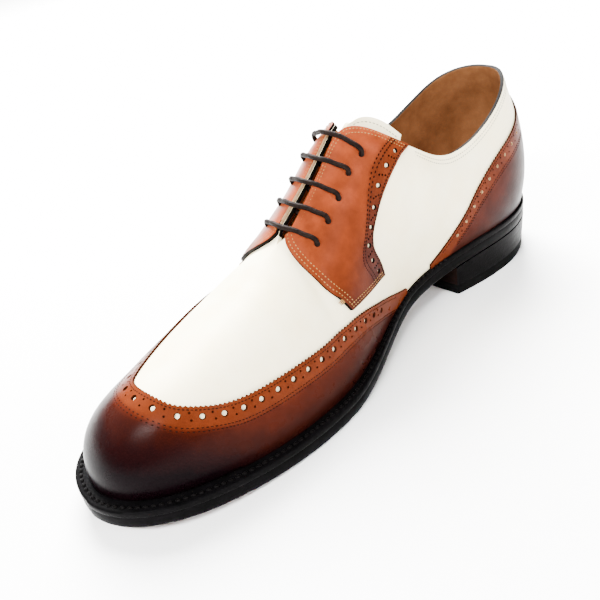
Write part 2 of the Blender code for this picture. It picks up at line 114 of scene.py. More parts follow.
# Rows of stitches: distances from the edge, pitch, and length, width and height of one stitch
COLLAR_SEAM = (2.4, 4.4), 1.7, (1.4, 0.5, 0.35)
WING_SEAM = (1.9, 9.3, 10.8), 1.6, (1.3, 0.5, 0.4)
COUNTER_SEAM = (1.9, 9.3, 10.8), 1.6, (1.3, 0.6, 0.5)
FACING_REAR_SEAM = (1.5, 8.8, 11.0), 1.6, (1.4, 0.75, 0.5)
FACING_FRONT_SEAM = (1.8, 3.9), 1.7, (1.05, 0.5, 0.4)
FACING_FOOT_ROWS = 1.6, 3.2
TONGUE_SEAM = (2.5,), 1.9, (1.5, 0.5, 0.35)
TACK_PLACES = 6.4, 7.2, 8.0
TACK_STITCH = 7.5, 0.85, 0.9
WELT_PITCH = 3.3
WELT_STITCH = 2.9, 1.9, 1.5

# Places of a piece's materials: outer face, inner face, cut edge and a second kind of cut edge
OUTER, INNER, EDGE, RAW = range(4)


def table(names, rows):
    """Rows of numbers as a dictionary of named columns."""
    return dict(zip(names.split(), np.array(rows, float).T))


# Feather line: half widths, height, how far the wall swells over it and how upright it starts
FEATHER = table("t medial lateral height swell rise", [
    (0, 0, 0, 30.0, .10, .36),
    (12, 22.0, -22.0, 30.0, .12, .36),
    (38, 31.0, -31.0, 30.0, .14, .36),
    (75, 27.5, -32.0, 28.5, .12, .38),
    (115, 22.0, -35.5, 20.5, .16, .43),
    (150, 31.0, -40.5, 12.8, .16, .43),
    (180, 40.5, -45.5, 9.6, .14, .44),
    (200, 43.5, -46.0, 9.5, .13, .45),
    (225, 43.5, -42.0, 10.0, .12, .47),
    (262, 37.5, -31.0, 12.4, .13, .53),
    (286, 26.5, -18.5, 14.6, .15, .58),
    (297, 5.0, 5.0, 15.2, .16, .60),
])
# Top line: ridge, height, slope of each side where it ends there and how long it stays flat
TOP_LINE = table("t ridge height slope_medial slope_lateral crown_medial crown_lateral", [
    (0, 0, 103.5, 90, 90, .30, .30),
    (8, 0, 102.6, 86, 86, .30, .30),
    (22, -.8, 97.8, 85, 85, .31, .31),
    (50, -2.5, 85.8, 81, 81, .32, .32),
    (75, -2.8, 81.6, 75, 75, .32, .32),
    (92, -1.2, 87.4, 67, 67, .30, .30),
    (107, .8, 98.0, 54, 54, .27, .27),
    (120, 3.0, 107.7, 38, 38, .24, .24),
    (129, 4.6, 113.0, 28, 28, .225, .225),
    (134, 5.2, 112.6, 25, 25, .22, .22),
    (148, 5.3, 100.6, 22, 22, .21, .21),
    (162, 5.4, 88.8, 20, 21, .215, .215),
    (178, 5.8, 77.4, 14, 18, .235, .235),
    (186, 6.4, 74.0, 8, 13, .26, .25),
    (200, 7.6, 68.7, -4, 8, .31, .27),
    (228, 10.4, 60.6, -6, 6, .36, .30),
    (254, 11.2, 53.6, -6, 6, .39, .31),
    (277, 9.0, 45.6, -4, 4, .42, .36),
    (290, 7.2, 35.0, -2, 2, .45, .40),
    (297, 5.0, 15.2, 0, 0, .45, .40),
])
# Half width of the opening at the collar, from its back to the top of the facings
COLLAR = table("t medial lateral", [
    (0, 0, 0), (8, 15.5, 15.5), (22, 23.8, 23.8), (50, 28.6, 28.6), (75, 28.6, 28.6),
    (92, 27.0, 27.0), (107, 22.8, 22.6), (120, 15.5, 14.6), (126, 9.9, 7.8), (130, 6.1, 3.6),
    (133.5, 3.6, 2.3), (137, 2.4, SLOT_TOP), (COLLAR_END, SLOT_TOP, SLOT_TOP),
])
# Curve of the heel's back: how far each height lies in front of the seat
HEEL_BACK = table("z forward", [
    (10, .5), (30, 0), (42, -2.6), (55, -3.4), (70, -2.0), (85, 1.5), (97, 5.5), (112, 10),
])
HEEL_BACK_REACH = 70.0
# Width of the welt outside the feather line
WELT = table("t medial lateral", [
    (0, 2.5, 2.5), (80, 2.5, 3.0), (115, 2.5, 4.0), (150, 4.5, 5.5), (185, 6.5, 6.5),
    (230, 7.0, 7.0), (270, 7.5, 7.0), (297, 7.5, 7.0),
])
# Upper edges of the wing cap and the counter, as shares of the rib
WING_EDGE = table("t medial lateral", [
    (118, .03, .03), (134, .10, .10), (155, .225, .225), (175, .325, .325), (189, .35, .40), (213, .39, .51),
    (232, .43, .565), (248, .50, .635), (254.5, .562, .68), (260.4, .644, .735), (264.6, .756, .805),
    (266.2, .87, .89), (WING_TIP, 1, 1),
])
COUNTER_EDGE = table("t share", [
    (0, .94), (.3, .885), (1.2, .825), (3.3, .765), (8.5, .715), (18, .688), (33, .68), (42, .67), (52, .63),
    (60, .565), (66, .49), (71, .40), (76, .31), (81, .225), (87, .135), (93, .07), (98, .035),
])
# Rear and front edges of a facing, from its lower corners up
FACING_REAR = table("t share", [
    (137.7, .225), (140.3, .319), (142.3, .42), (140.3, .45), (137, .475),
    (130.4, .544), (124.6, .644), (116.8, .806), (106, 1),
])
FACING_FRONT = table("t share", [
    (170.6, .356), (173.9, .45), (177.8, .55), (179.7, .644), (181, .738), (181, .83),
    (179.5, .93), (177, 1),
])
# How far the tongue stands out above the facings, from its lateral to its medial edge
TONGUE_RIM = table("across out", [(-1, 2.0), (-.5, 3.8), (0, 6.5), (.35, 8.8), (.7, 8.2), (1, 5.5)])
# Soft waves of the leather: middle along the shoe, half length, lowest and highest share, depth
QUARTER_WAVES = [(113, 7, .35, .95, 1.0), (99, 6, .28, .9, -.6), (86, 6, .25, .85, .5),
                 (72, 9, .75, 1.0, .4)]
VAMP_WAVES = [(201, 4, .62, 1.0, .35), (212, 5, .55, 1.0, .30), (224, 5, .6, 1.0, .2)]


# The last

def spline(knots, values):
    """Natural cubic spline through the values, as a function."""
    x = np.asarray(knots, float)
    y = np.asarray(values, float)
    step = np.diff(x)
    slope = np.diff(y) / step
    last = len(x) - 1
    matrix = np.eye(last + 1)
    right = np.zeros(last + 1)
    for i in range(1, last):
        matrix[i, i - 1:i + 2] = step[i - 1], 2 * (step[i - 1] + step[i]), step[i]
        right[i] = 6 * (slope[i] - slope[i - 1])
    bend = np.linalg.solve(matrix, right)

    def value(q):
        q = np.asarray(q, float)
        i = np.clip(np.searchsorted(x, q) - 1, 0, last - 1)
        h = step[i]
        ahead = x[i + 1] - q
        past = q - x[i]
        curve = (bend[i] * ahead ** 3 + bend[i + 1] * past ** 3) / (6 * h)
        line = (y[i] / h - bend[i] * h / 6) * ahead + (y[i + 1] / h - bend[i + 1] * h / 6) * past
        return curve + line

    return value


def ease(low, high, value):
    """Smooth step from 0 at low to 1 at high."""
    share = np.clip((value - low) / (high - low), 0, 1)
    return share * share * (3 - 2 * share)


def unit(vectors):
    return vectors / np.maximum(np.linalg.norm(vectors, axis=-1, keepdims=True), 1e-9)


def station(t):
    """Angle that runs from 0 at the heel to pi at the toe, so that both ends close round."""
    return np.arccos(np.clip(1 - 2 * np.asarray(t, float) / LAST_LENGTH, -1, 1))


def along(s):
    return LAST_LENGTH / 2 * (1 - np.cos(s))


def curves(columns):
    """One spline over the stations for each named column of a table."""
    knots = station(columns["t"])
    return {name: spline(knots, values) for name, values in columns.items() if name != "t"}


feather = curves(FEATHER)
top_line = curves(TOP_LINE)
collar = curves(COLLAR)
heel_back = spline(HEEL_BACK["z"], HEEL_BACK["forward"])


def side_name(side):
    return "medial" if side > 0 else "lateral"


def half_gap(s, side):
    """Half width of the opening: collar, then throat, then closed over the vamp."""
    t = along(s)
    throat = np.interp(t, [COLLAR_END, SLOT_END, SLOT_CLOSE], [SLOT_TOP, SLOT_FOOT, 0])
    return np.where(t < COLLAR_END, collar[side_name(side)](s), throat)


def waves(t, share, list_of_waves):
    """Depth of the soft troughs at a place on the leather."""
    depth = 0.0
    for middle, half, low, high, deep in list_of_waves:
        across = np.exp(-((t - middle) / half) ** 2)
        fade = 1 - ease(high - .1, high + .06, share) * .5
        depth = depth + deep * across * ease(low, low + .15, share) * fade
    return depth


def rib(s, share, side, ridge, height, half, slope, crown):
    """Point on a rib, from the feather line at share 0 to the given top at share 1."""
    foot_x = feather[side_name(side)](s)
    foot_z = feather["height"](s)
    top_x = ridge + side * half
    tall = height - foot_z
    reach = crown * np.hypot(foot_x - top_x, tall)
    low_x = foot_x + side * feather["swell"](s) * np.abs(foot_x - ridge)
    low_z = foot_z + feather["rise"](s) * tall
    high_x = top_x + side * reach * np.cos(np.radians(slope))
    high_z = height - reach * np.sin(np.radians(slope))
    rest = 1 - share
    weights = rest ** 3, 3 * rest ** 2 * share, 3 * rest * share ** 2, share ** 3
    x = sum(w * v for w, v in zip(weights, (foot_x, low_x, high_x, top_x)))
    z = sum(w * v for w, v in zip(weights, (foot_z, low_z, high_z, height)))
    t = along(s) + 0 * share
    x = x - side * waves(t, share, QUARTER_WAVES)
    z = z - waves(t, share, VAMP_WAVES)
    fade = 1 - ease(0, HEEL_BACK_REACH, t)
    return np.stack(np.broadcast_arrays(x, t + heel_back(z) * fade, z), axis=-1)


def skin(s, share, side):
    """Points on the outer face of the upper."""
    name = side_name(side)
    return rib(s, share, side, top_line["ridge"](s), top_line["height"](s), half_gap(s, side),
               top_line["slope_" + name](s), top_line["crown_" + name](s))


def place(points):
    """From the last's own sizes to metres in the scene."""
    return (np.asarray(points) - (CENTRE_X, CENTRE_T, 0)) * (MM, -MM, MM)


def facing_way(directions):
    """A direction on the last as one in the scene."""
    return np.asarray(directions) * (1, -1, 1)


def lengths(points):
    """Distance walked along a row of points."""
    return np.concatenate([[0], np.cumsum(np.linalg.norm(np.diff(points, axis=0), axis=1))])


def spread_evenly(points, count):
    """The same line with its points spaced evenly."""
    walked = lengths(points)
    spots = np.linspace(0, walked[-1], count)
    return np.stack([np.interp(spots, walked, points[:, k]) for k in range(points.shape[1])], axis=1)


# Inside of the last, which tells a panel's outward side: span along the shoe and height
HEART_SPAN = 40, 250
HEART_HEIGHT = 30.0


class Panel:
    """Grid of points on the last: columns follow each other along an edge, rows lead away from it."""

    def __init__(self, points):
        self.points = points
        normals = unit(np.cross(np.gradient(points, axis=0), np.gradient(points, axis=1)))
        s = station(points[..., 1])
        middle = (feather["medial"](s) + feather["lateral"](s)) / 2
        heart = np.stack([middle, np.clip(points[..., 1], *HEART_SPAN),
                          np.full_like(middle, HEART_HEIGHT)], axis=-1)
        self.normals = normals * np.sign(np.sum(normals * (points - heart)))
        self.along = lengths(points[:, 0])
        self.away = np.array([lengths(column) for column in points])
        self.length = self.along[-1]

    def spot(self, along, away):
        """Point, outward normal and way along the edge, at a distance along it and away from it."""
        columns, rows = self.away.shape
        column = np.interp(along, self.along, np.arange(columns))
        left = min(int(column), columns - 2)
        ends = []
        for i in (left, left + 1):
            row = np.interp(away, self.away[i], np.arange(rows))
            j = min(int(row), rows - 2)
            ends.append([grid[i, j] + (row - j) * (grid[i, j + 1] - grid[i, j])
                         for grid in (self.points, self.normals)])
        share = column - left
        point = ends[0][0] + share * (ends[1][0] - ends[0][0])
        normal = ends[0][1] + share * (ends[1][1] - ends[0][1])
        return point, unit(normal), unit(ends[1][0] - ends[0][0])


# Colours and materials

def linear(code):
    """Linear colour of an sRGB hex value."""
    parts = [int(code[i:i + 2], 16) / 255 for i in (1, 3, 5)]
    return (*[c / 12.92 if c <= 0.04045 else ((c + 0.055) / 1.055) ** 2.4 for c in parts], 1.0)


def node(tree, kind, inputs, stops=(), **settings):
    """Adds a node; each input takes a value or a link, and stops are the colours of a ramp."""
    made = tree.nodes.new("ShaderNode" + kind)
    for name, value in settings.items():
        setattr(made, name, value)
    for name, value in inputs.items():
        if isinstance(value, bpy.types.NodeSocket):
            tree.links.new(value, made.inputs[name])
        else:
            made.inputs[name].default_value = value
    for i, (spot, code) in enumerate(stops):
        element = made.color_ramp.elements[i] if i < 2 else made.color_ramp.elements.new(spot)
        element.position = spot
        element.color = linear(code)
    return made


def clouded(dark, light):
    """Stops of a ramp for the two tones of a cloud."""
    return [(0.3, dark), (0.7, light)]


def finish_of(name, cloud_size, stops, rough, bump_size, bump_deep, shader, polish_and_shade=0.0):
    """Material with clouded colour, uneven gloss and a fine grain.

    The cloud and grain sizes and the depth of the grain are in millimetres. With a share for the
    painted tone, the vertices' painted value moves the colour along the stops and the cloud only by
    that share: the depth of polish, and on the facings painted shade and light as well.
    """
    material = bpy.data.materials.new(name)
    material.use_nodes = True
    tree = material.node_tree
    principled = tree.nodes["Principled BSDF"]
    for socket, value in shader.items():
        principled.inputs[socket].default_value = value
    spot = node(tree, "TexCoord", {}).outputs["Object"]
    cloud = node(tree, "TexNoise", {"Vector": spot, "Scale": 1 / (cloud_size * MM), "Detail": 5.0,
                                    "Roughness": 0.6}).outputs["Fac"]
    tone = cloud
    if polish_and_shade:
        painted = node(tree, "Attribute", {}, attribute_name="polish_and_shade").outputs["Fac"]
        tone = node(tree, "Math", {0: cloud, 1: polish_and_shade, 2: painted}, operation="MULTIPLY_ADD").outputs[0]
    colour = node(tree, "ValToRGB", {"Fac": tone}, stops=stops).outputs["Color"]
    gloss = node(tree, "MapRange", {"Value": cloud, "From Min": 0.3, "From Max": 0.7, "To Min": rough[0],
                                    "To Max": rough[1]}).outputs["Result"]
    cells = node(tree, "TexVoronoi", {"Vector": spot, "Scale": 1 / (bump_size * MM)},
                 feature="SMOOTH_F1").outputs["Distance"]
    folds = node(tree, "TexNoise", {"Vector": spot, "Scale": 1 / (4 * bump_size * MM),
                                    "Detail": 3.0}).outputs["Fac"]
    height = node(tree, "Math", {0: cells, 1: folds}, operation="ADD").outputs[0]
    normal = node(tree, "Bump", {"Height": height, "Strength": 1.0,
                                 "Distance": bump_deep * MM}).outputs["Normal"]
    for socket, value in {"Base Color": colour, "Roughness": gloss, "Normal": normal}.items():
        tree.links.new(value, principled.inputs[socket])
    return material


# Tan dye under brown and black polish: light where it is thin, near black where it is built up.
# On the facings the same ramp also carries painted shade and light.
TAN_TO_BLACK = [(0.0, "#84381D"), (0.15, "#5E2610"), (0.3, "#441A09"), (0.45, "#300E05"), (0.6, "#200804"),
                (0.78, "#110404"), (1.0, "#040102")]
# How strongly each finish mirrors the studio; low, since the white floor would veil dark leather
POLISHED = {"Specular IOR Level": 0.013}
WAXED = {"Specular IOR Level": 0.016}
DULL = {"Specular IOR Level": 0.01}
CLEAR = {"Specular IOR Level": 0.25}

# Smooth undyed-looking calf: nearly white, its soft clouds keep it from looking like plastic
ivory_calf = finish_of("ivory_calf", 16, clouded("#F2E3B8", "#F9EECC"), (0.40, 0.50), 0.9, 0.035, CLEAR)
# Waxed and burnished calf: polish built up over the dye gives the deep shine of the toe
burnished_calf = finish_of("burnished_tan_calf", 9, TAN_TO_BLACK, (0.24, 0.34), 0.8, 0.02, POLISHED, 0.2)
# Polished tan calf of the facings and the counter, less built up, so the dye shows
tan_calf = finish_of("tan_calf", 12, TAN_TO_BLACK, (0.28, 0.42), 0.8, 0.04, WAXED, 0.36)
# Raw cut edge of tan leather, rubbed with brown stain: dull and fibrous
stained_edge = finish_of("stained_leather_edge", 2, clouded("#180904", "#2E1207"), (0.6, 0.75), 0.4, 0.08,
                         DULL)
# Cut edges of facing and lining, inked black
inked_edge = finish_of("inked_leather_edge", 2, clouded("#040302", "#0A0706"), (0.5, 0.65), 0.5, 0.06, DULL)
# Raw cut edge of the facings beside the lacing and of small holes: pale, fibrous leather
raw_edge = finish_of("raw_leather_edge", 2, clouded("#836548", "#A68A68"), (0.6, 0.75), 0.4, 0.08, DULL)
# Unfinished vegetable-tanned lining: warm tan and matt
lining_leather = finish_of("lining_leather", 10, clouded("#5A3820", "#6E482C"), (0.55, 0.7), 0.7, 0.05, DULL)
# Sock of the insole, of the same lining leather but lighter
insole_leather = finish_of("insole_leather", 12, clouded("#684528", "#7E573A"), (0.55, 0.7), 0.7, 0.05, DULL)
# Edge ink and hot wax on leather: black with a dull band of shine
black_edge = finish_of("black_edge", 6, clouded("#030303", "#070607"), (0.32, 0.46), 0.9, 0.10, DULL)
# Stained oak-bark sole leather: smooth and reddish brown
sole_leather = finish_of("sole_leather", 18, clouded("#34170D", "#472315"), (0.45, 0.6), 0.9, 0.05, DULL)
# The breast of the heel, stained darker than the sole
breast_leather = finish_of("breast_leather", 6, clouded("#0B0606", "#130A08"), (0.4, 0.55), 0.9, 0.05, DULL)
# Moulded rubber of the top piece
rubber = finish_of("rubber", 8, clouded("#050505", "#0A0A0A"), (0.6, 0.75), 0.5, 0.04, DULL)
# Polyester and linen threads, too thin for their twist to show
dark_thread = finish_of("dark_thread", 1, clouded("#0B0503", "#170A06"), (0.6, 0.7), 0.3, 0.05, DULL)
cream_thread = finish_of("cream_thread", 1, clouded("#70502A", "#886840"), (0.6, 0.7), 0.3, 0.05, DULL)
grey_thread = finish_of("grey_thread", 1, clouded("#746B58", "#928975"), (0.6, 0.7), 0.3, 0.05, DULL)
black_thread = finish_of("black_thread", 1, clouded("#040303", "#0A0909"), (0.4, 0.55), 0.3, 0.06, WAXED)
# Waxed cotton braid: nearly black brown, its strands catch small lights
waxed_cotton = finish_of("waxed_cotton", 3, clouded("#0A0605", "#160F0C"), (0.5, 0.65), 0.7, 0.25, WAXED)
# Seamless white studio sweep
white_floor = finish_of("white_sweep", 400, clouded("#FAFAF9", "#FDFDFC"), (0.42, 0.46), 2.0, 0.01, DULL)


# Building pieces

def add_object(name, data):
    obj = bpy.data.objects.new(name, data)
    bpy.context.scene.collection.objects.link(obj)
    return obj


def mesh_of(name, bm, materials):
    """Mesh from a bmesh, which is freed."""
    mesh = bpy.data.meshes.new(name)
    bm.to_mesh(mesh)
    bm.free()
    for material in materials:
        mesh.materials.append(material)
    return mesh


def baked(obj):
    """Mesh of an object with its modifiers, or the thickness of its curve, worked in."""
    bpy.context.view_layer.update()
    return bpy.data.meshes.new_from_object(obj.evaluated_get(bpy.context.evaluated_depsgraph_get()))


def grid(bm, spots):
    """Sheet of faces through an array of places, as a list of its vertices with column and row."""
    columns, rows = spots.shape[0] - 1, spots.shape[1] - 1
    made = []
    for vert in bmesh.ops.create_grid(bm, x_segments=columns, y_segments=rows, size=0.5)["verts"]:
        i, j = round((vert.co.x + 0.5) * columns), round((vert.co.y + 0.5) * rows)
        vert.co = spots[i, j]
        made.append((vert, i, j))
    return made


def lay(bm, panel, lift, tooth, weights):
    """Sheet of faces over a panel, facing outward; a tooth notches every other column of its edge.

    The weights, one for each point, go into the piece's first vertex group.
    """
    points = panel.points + lift * panel.normals
    if tooth:
        reach = points[1:-1:2, 1] - points[1:-1:2, 0]
        long = np.linalg.norm(reach, axis=-1, keepdims=True)
        points[1:-1:2, 0] += reach * np.minimum(tooth / np.maximum(long, 1e-6), 0.6)
    group = bm.verts.layers.deform.verify()
    made = grid(bm, place(points))
    middle = (points.shape[0] - 1) // 2, (points.shape[1] - 1) // 2
    for vert, i, j in made:
        if weights is not None:
            vert[group][0] = weights[i, j]
        if (i, j) == middle:
            probe = vert
    bm.normal_update()
    if probe.normal.dot(Vector(facing_way(panel.normals[middle]))) < 0:
        faces = {face for vert, i, j in made for face in vert.link_faces}
        bmesh.ops.reverse_faces(bm, faces=list(faces))


def piece(name, bm, materials, replaced=(), merge=0.01):
    """Piece of the shoe from a bmesh, riding on the part."""
    bmesh.ops.remove_doubles(bm, verts=bm.verts, dist=merge * MM)
    mesh = mesh_of(name, bm, materials)
    mesh.shade_smooth()
    obj = add_object(name, mesh)
    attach(obj, "root")
    if replaced:
        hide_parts(replaced)
    return obj


def leather(name, panels, materials, replaced, thickness, lift=None, tooth=0.0, weights=None):
    """Leather over panels: with a lift it lies on the last, otherwise it grows into it and is seamless."""
    overlay = lift is not None
    bm = bmesh.new()
    for panel in panels:
        lay(bm, panel, lift or 0.0, tooth, weights)
    obj = piece(name, bm, materials, replaced, 0.01 if overlay else 0.05)
    wall = obj.modifiers.new("wall", "SOLIDIFY")
    wall.thickness = thickness * MM
    wall.offset = 1.0 if overlay else -1.0
    wall.use_quality_normals = True
    return obj


def round_rim(obj, width, segments):
    """Rounds the cut edges of a piece."""
    rim = obj.modifiers.new("rim", "BEVEL")
    rim.width = width * MM
    rim.segments = segments
    rim.limit_method = "ANGLE"
    rim.angle_limit = RIM_ANGLE


def punch(obj, holes):
    """Round holes in a piece.

    Each has a point and an outward axis on the last, two end radii, a length and the material of its wall.
    """
    bm = bmesh.new()
    for point, axis, low, high, length, wall in holes:
        turn = Vector(facing_way(axis)).to_track_quat("Z", "Y").to_matrix().to_4x4()
        made = bmesh.ops.create_cone(bm, cap_ends=True, segments=16 if high > 1 else 8, depth=length * MM,
                                     radius1=low * MM, radius2=high * MM,
                                     matrix=Matrix.Translation(Vector(place(point))) @ turn)
        for face in {face for vert in made["verts"] for face in vert.link_faces}:
            face.material_index = wall
    name = obj.name + "_holes"
    cutter = add_object(name, mesh_of(name, bm, obj.data.materials))
    cuts = obj.modifiers.new("holes", "BOOLEAN")
    cuts.operation = "DIFFERENCE"
    cuts.solver = "MANIFOLD"
    cuts.object = cutter
    settle(obj)
    bpy.data.objects.remove(cutter)


def settle(obj):
    """Turns a piece's modifiers into its own mesh."""
    made = baked(obj)
    made.name = obj.data.name
    obj.modifiers.clear()
    obj.data = made


# How far a face may turn from the panel's outward way and still be its outer or inner face
OUTER_TURN = 0.4
INNER_TURN = -0.55
SHARP_ANGLE = np.radians(42)


def dress(obj, panels, polish_and_shade=None):
    """Outer faces take the first material, inner faces the second and cut edges the third.

    The walls of holes keep theirs. The painted tone, one array for each panel, goes on the vertices:
    depth of polish, and on the facings painted shade and light as well.
    """
    points = np.concatenate([place(panel.points).reshape(-1, 3) for panel in panels])
    normals = np.concatenate([facing_way(panel.normals).reshape(-1, 3) for panel in panels])
    tree = kdtree.KDTree(len(points))
    for i, point in enumerate(points):
        tree.insert(point, i)
    tree.balance()
    mesh = obj.data
    for face in mesh.polygons:
        if face.material_index == OUTER:
            outward = face.normal.dot(Vector(normals[tree.find(face.center)[1]]))
            face.material_index = INNER if outward < INNER_TURN else OUTER if outward > OUTER_TURN else EDGE
    if polish_and_shade is not None:
        values = np.concatenate([depth.reshape(-1) for depth in polish_and_shade])
        layer = mesh.attributes.new("polish_and_shade", "FLOAT", "POINT")
        for i, vert in enumerate(mesh.vertices):
            layer.data[i].value = values[tree.find(vert.co)[1]]
    mesh.shade_smooth()
    mesh.set_sharp_from_angle(angle=SHARP_ANGLE)


def stitches(name, rows, size, material):
    """Piece of sewn rows of spots on the last; size is a stitch's length, width and height."""
    bm = bmesh.new()
    shape = bpy.data.meshes.new("stitch")
    for point, normal, run in (spot for row in rows for spot in row):
        up = Vector(facing_way(normal))
        ahead = Vector(facing_way(run))
        ahead = (ahead - up * up.dot(ahead)).normalized()
        axes = [v * (0.5 * s * MM) for v, s in zip((ahead, up.cross(ahead), up), size)]
        matrix = Matrix([(*row_of, at) for row_of, at in zip(zip(*axes), place(point))] + [(0, 0, 0, 1)])
        one = bmesh.new()
        bmesh.ops.create_uvsphere(one, u_segments=6, v_segments=4, radius=1.0, matrix=matrix)
        one.to_mesh(shape)
        one.free()
        bm.from_mesh(shape)
    bpy.data.meshes.remove(shape)
    return piece(name, bm, [material], merge=0.0001)


def sewn(panel, away, pitch, lift, start=0.0, end=None):
    """Spots of a row of stitches at a distance from a panel's edge, lifted over the panel.

    Without an end, the row stops as far short of the edge's end as it starts from its beginning.
    """
    end = panel.length - start if end is None else end
    spots = []
    for walked in np.arange(start + pitch / 2, end, pitch):
        point, normal, run = panel.spot(walked, away)
        spots.append((point + lift * normal, normal, run))
    return spots


def sew(name, panel, seam, lift, thread, start=0.0, end=None, slope=0.0):
    """Piece of a seam's rows, lifted further by the slope the farther they are from the edge."""
    rows, pitch, size = seam
    stitches(name, [sewn(panel, away, pitch, lift + slope * away, start, end) for away in rows], size, thread)


def brogued(panel, away, top, radius, start, end, wall, pins=((0, 1.5), (0, -1.5))):
    """Punched row: large tapered holes at an even pitch, and blind pinholes between them.

    The wall is the material inside the large holes, and each pinhole has an offset along and away.
    """
    count = max(round((end - start) / HOLE_PITCH), 1)
    step = (end - start) / count
    holes = []
    for k in range(count + 1):
        point, normal, run = panel.spot(start + k * step, away)
        holes.append((point + top / 2 * normal, normal, HOLE_LOW * radius, HOLE_HIGH * radius, 2 * top, wall))
        # Painted shade: the pinholes stop short as blind pits whose walls and floors take the dark cut-edge
        # material, standing in for the shade deep in a small hole.
        for ahead, aside in pins if k < count else ():
            point, normal, run = panel.spot(start + (k + 0.5) * step + ahead, away + aside)
            holes.append((point + top * normal, normal, PIN_RADIUS, PIN_RADIUS, 2 * PIN_DEPTH, EDGE))
    return holes


# Upper

UPPER_STATIONS = station(np.concatenate([
    along(np.linspace(0, station(40), 16)), np.linspace(43, 126, 36), np.linspace(128, 190, 46),
    np.linspace(192.5, 262, 30), along(np.linspace(station(264.5), np.pi, 26)),
]))
UPPER_SHARES = np.linspace(0, 1, 54)


def eyelet_share(s, side):
    """Share of the rib that lies the eyelet's inset from the edge of the facing."""
    shares = np.linspace(1, 0.5, 60)
    return np.interp(EYELET_INSET, lengths(skin(s, shares, side)), shares)


def normal_at(s, share, side):
    small = 0.002
    run = skin(s + small, share, side) - skin(s - small, share, side)
    climb = skin(s, min(share + small, 1), side) - skin(s, share - small, side)
    return unit(side * np.cross(run, climb))


def eyelet(t, side):
    """Point in the eyelet, its outward axis and the way from it to the throat."""
    s = station(t)
    share = eyelet_share(s, side)
    middle = skin(s, share, side)
    axis = normal_at(s, share, side)
    inward = skin(s, share + 0.05, side) - middle
    return middle, axis, unit(inward - axis * np.dot(axis, inward))


def eyelet_holes(sides):
    return [(*eyelet(t, side)[:2], EYELET_RADIUS, EYELET_RADIUS, EYELET_CUT, EDGE)
            for side in sides for t in EYELET_STATIONS]


upper_panels = [Panel(skin(UPPER_STATIONS[:, None], UPPER_SHARES[None, :], side)) for side in (1, -1)]
upper = leather("upper_leather", upper_panels, [ivory_calf, lining_leather, inked_edge],
                "upper", WALL)
round_rim(upper, 0.5, 3)
punch(upper, eyelet_holes((1, -1)))
dress(upper, upper_panels)
# Only the collar's edge is inked, the vamp's is ivory like its face
INK_END = place((0, 177, 0))[1]
for face in upper.data.polygons:
    if face.material_index == EDGE and face.center.y < INK_END:
        face.material_index = OUTER

# Two fine rows run round the collar, below its turned edge
COLLAR_REACH = 104.0
collar_stations = station(np.concatenate([
    np.linspace(COLLAR_REACH, 42, 40), along(np.linspace(station(40), 0, 24))]))
collar_shares = np.linspace(1, 0.8, 12)
collar_rows = [skin(collar_stations[:, None], collar_shares[None, :], side) for side in (1, -1)]
collar_panel = Panel(np.concatenate([collar_rows[0], collar_rows[1][-2::-1]]))
sew("collar_stitching", collar_panel, COLLAR_SEAM, 0.0, grey_thread)


# Wing cap

WING_ROWS = 20
WING_HEART = 250.0
fan_shares = 1 - (1 - np.linspace(0, 1, 170)) ** 3
fan_stations = np.linspace(station(WING_HEART) - 0.35, np.pi, 240)


def ridge_x(t):
    return top_line["ridge"](station(t))


def azimuth(points, side):
    """Angle round a point on the ridge, from straight ahead to the given side."""
    t = points[..., 1]
    return np.arctan2(side * (points[..., 0] - ridge_x(np.minimum(t, LAST_LENGTH))), t - WING_HEART)


fan_angles = {side: azimuth(skin(fan_stations[:, None], fan_shares[None, :], side), side) for side in (1, -1)}
wing_shares = {side: spline(np.sqrt(WING_TIP - WING_EDGE["t"][::-1]), WING_EDGE[side_name(side)][::-1])
               for side in (1, -1)}


def wing_edge(back):
    """Side, distance and share of the wing's edge; back is the signed root of the way to its tip."""
    side = 1 if back >= 0 else -1
    return side, WING_TIP - back * back, float(np.clip(wing_shares[side](abs(back)), 0, 1))


def wing_column(back):
    """Line from the wing's edge down to the feather line."""
    side, t, top = wing_edge(back)
    s = station(t)
    edge = skin(s, top, side)
    angle = float(azimuth(edge, side))
    if t < WING_HEART:
        shares = np.linspace(top, OVERLAY_FOOT, 60)
        line = skin(s, shares, side)
    elif abs(back) < 1e-6:
        line = skin(np.linspace(s, np.pi, 60), 1.0, side)
    else:
        lower = fan_shares[(fan_shares < top - 1e-4) & (fan_shares > OVERLAY_FOOT)][::-1]
        picked = [int(np.flatnonzero(fan_shares == share)[0]) for share in lower]
        stations = [np.interp(angle, fan_angles[side][::-1, k], fan_stations[::-1]) for k in picked]
        line = np.concatenate([edge[None], skin(np.array(stations), lower, side)])
    return spread_evenly(line, WING_ROWS)


def evenly_toothed(line):
    """Even number of columns for a pinked edge of this length."""
    return 2 * round(lengths(line)[-1] / TOOTH_PITCH) + 1


wing_reach = np.sqrt(WING_TIP - WING_EDGE["t"][0])
backs = np.linspace(-wing_reach, wing_reach, 1201)
edge_line = np.array([skin(station(t), top, side) for side, t, top in map(wing_edge, backs)])
walked = lengths(edge_line)
columns = np.interp(np.linspace(0, walked[-1], evenly_toothed(edge_line)), walked, backs)
wing = Panel(np.array([wing_column(b) for b in columns]))

# Burnish: thin along the pinked band, deeper towards the welt and deepest at the toe
low = wing.away / wing.away[:, -1:]
toe = ease(225, 285, wing.points[..., 1])
below = ease(8.5, 12, wing.away)
wing_burnish = .18 + .06 * low + .02 * toe + below * (.11 + .28 * low ** 2 + toe * (.08 + .42 * low))

